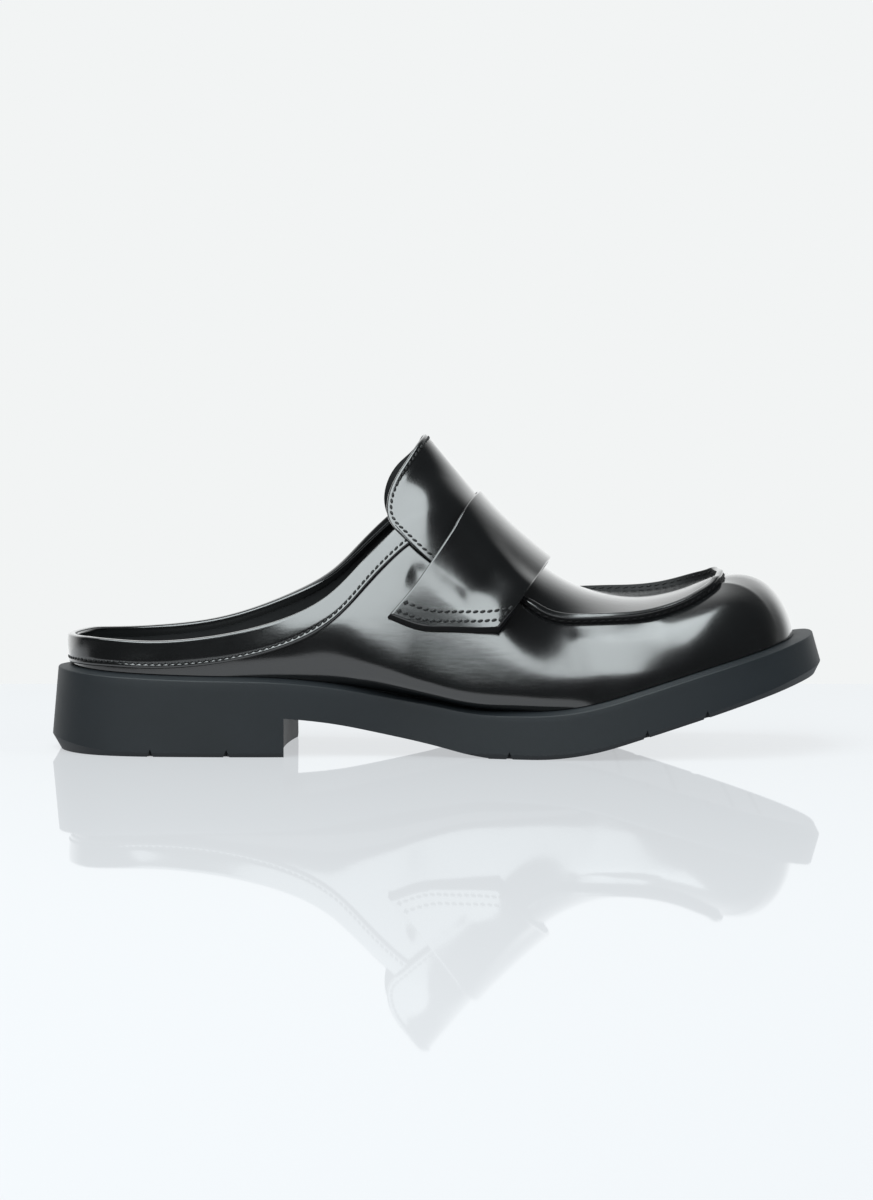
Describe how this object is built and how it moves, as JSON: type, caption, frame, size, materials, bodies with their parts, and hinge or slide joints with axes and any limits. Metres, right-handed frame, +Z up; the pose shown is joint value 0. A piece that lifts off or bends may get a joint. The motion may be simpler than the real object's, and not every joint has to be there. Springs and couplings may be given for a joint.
{
  "type": "backless loafer",
  "caption": "Backless slip-on loafer in polished leather, right foot, with moccasin toe, saddle strap, broad tongue and one-piece rubber sole with a block heel",
  "frame": {"origin": "On the floor, at the middle of the sole's footprint box", "axes": "+X to the toe, +Y to the inner (medial) side, +Z up"},
  "size_m": [0.3, 0.1059, 0.1223],
  "materials": {
    "unit_sole": "matt black rubber",
    "insole": "soft black lining leather",
    "upper": "black leather, high gloss",
    "apron": "black leather, high gloss",
    "tongue": "black leather, high gloss",
    "saddle_strap": "black leather, high gloss",
    "collar_band": "black leather, high gloss"
  },
  "bodies": {
    "root": {"unit_sole": "unit_sole", "insole": "insole", "upper": "upper", "apron": "apron", "tongue": "tongue", "saddle_strap": "saddle_strap", "collar_band": "collar_band"}
  },
  "joints": []
}
